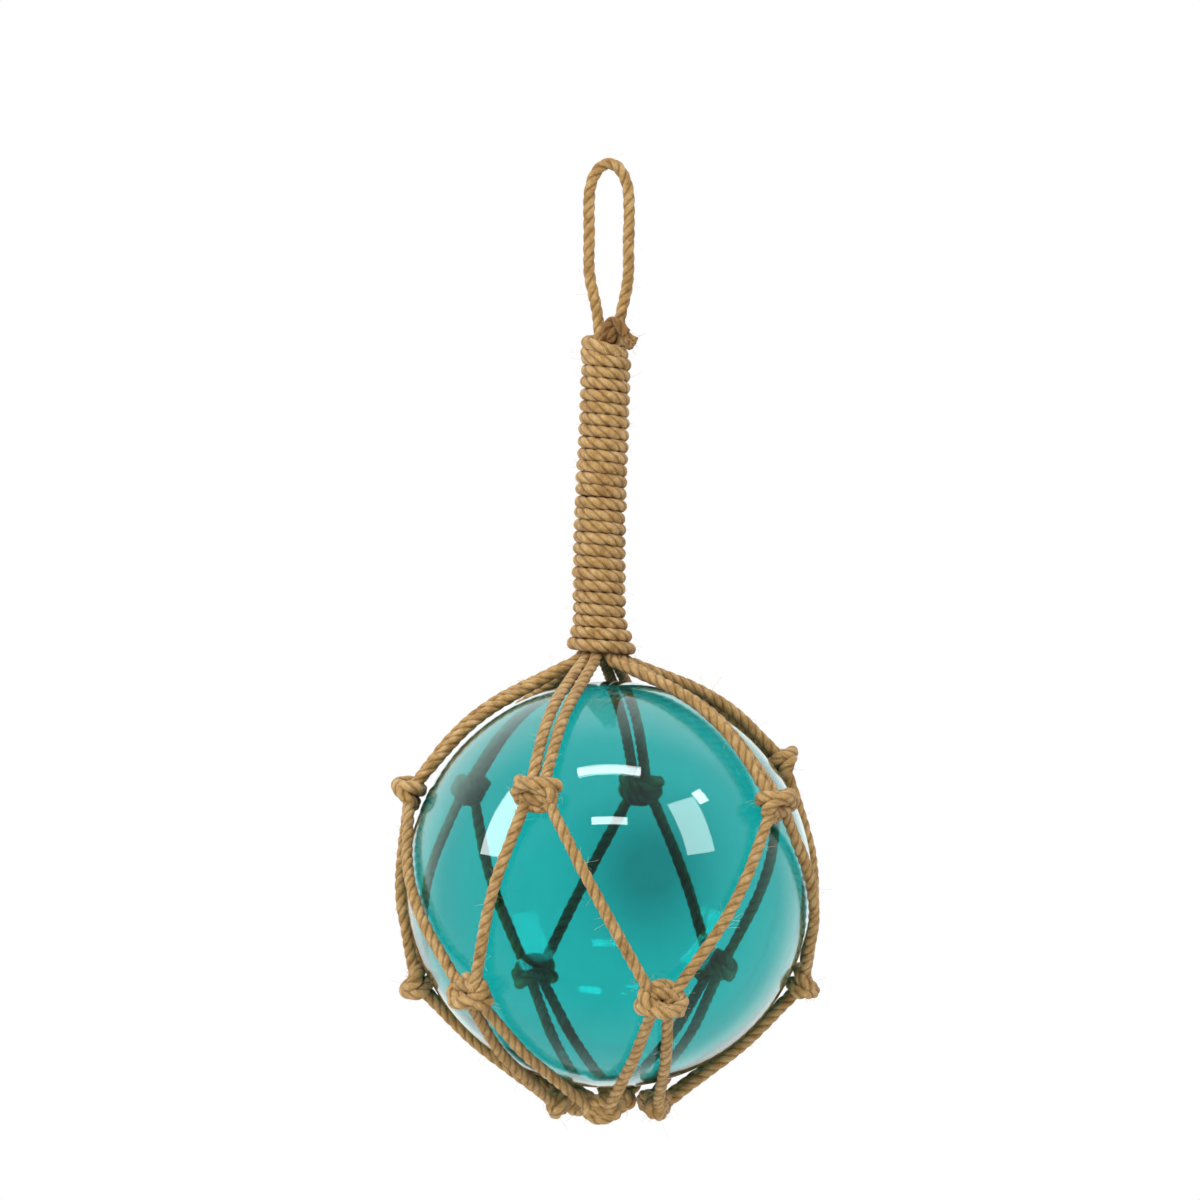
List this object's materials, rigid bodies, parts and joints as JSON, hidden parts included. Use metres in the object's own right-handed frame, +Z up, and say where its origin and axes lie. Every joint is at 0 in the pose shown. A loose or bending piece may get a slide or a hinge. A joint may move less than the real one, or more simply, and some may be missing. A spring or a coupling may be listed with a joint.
{
  "type": "rope-wrapped glass ball",
  "caption": "Hollow-looking glass float in a knotted jute net, with a rope-wound handle above it and a rope loop to hang it by.",
  "frame": {"origin": "inside the top of the hanging loop, where a peg or hook carries it", "axes": "+Z up along the hanging object, -Y towards the front, +X to the right seen from the front"},
  "size_m": [0.2105, 0.211, 0.4756],
  "materials": {
    "teal_glass": "clear blown glass, teal in the mass, smooth",
    "jute_rope": "natural laid jute rope, matt, with stray fibres"
  },
  "bodies": {
    "root": {"glass_float": "teal_glass", "wrapped_handle": "jute_rope", "hanging_loop": "jute_rope", "net_cord_1_left": "jute_rope", "net_cord_1_right": "jute_rope", "net_cord_2_left": "jute_rope", "net_cord_2_right": "jute_rope", "net_cord_3_left": "jute_rope", "net_cord_3_right": "jute_rope", "net_cord_4_left": "jute_rope", "net_cord_4_right": "jute_rope", "net_cord_5_left": "jute_rope", "net_cord_5_right": "jute_rope", "net_cord_6_left": "jute_rope", "net_cord_6_right": "jute_rope"}
  },
  "joints": []
}
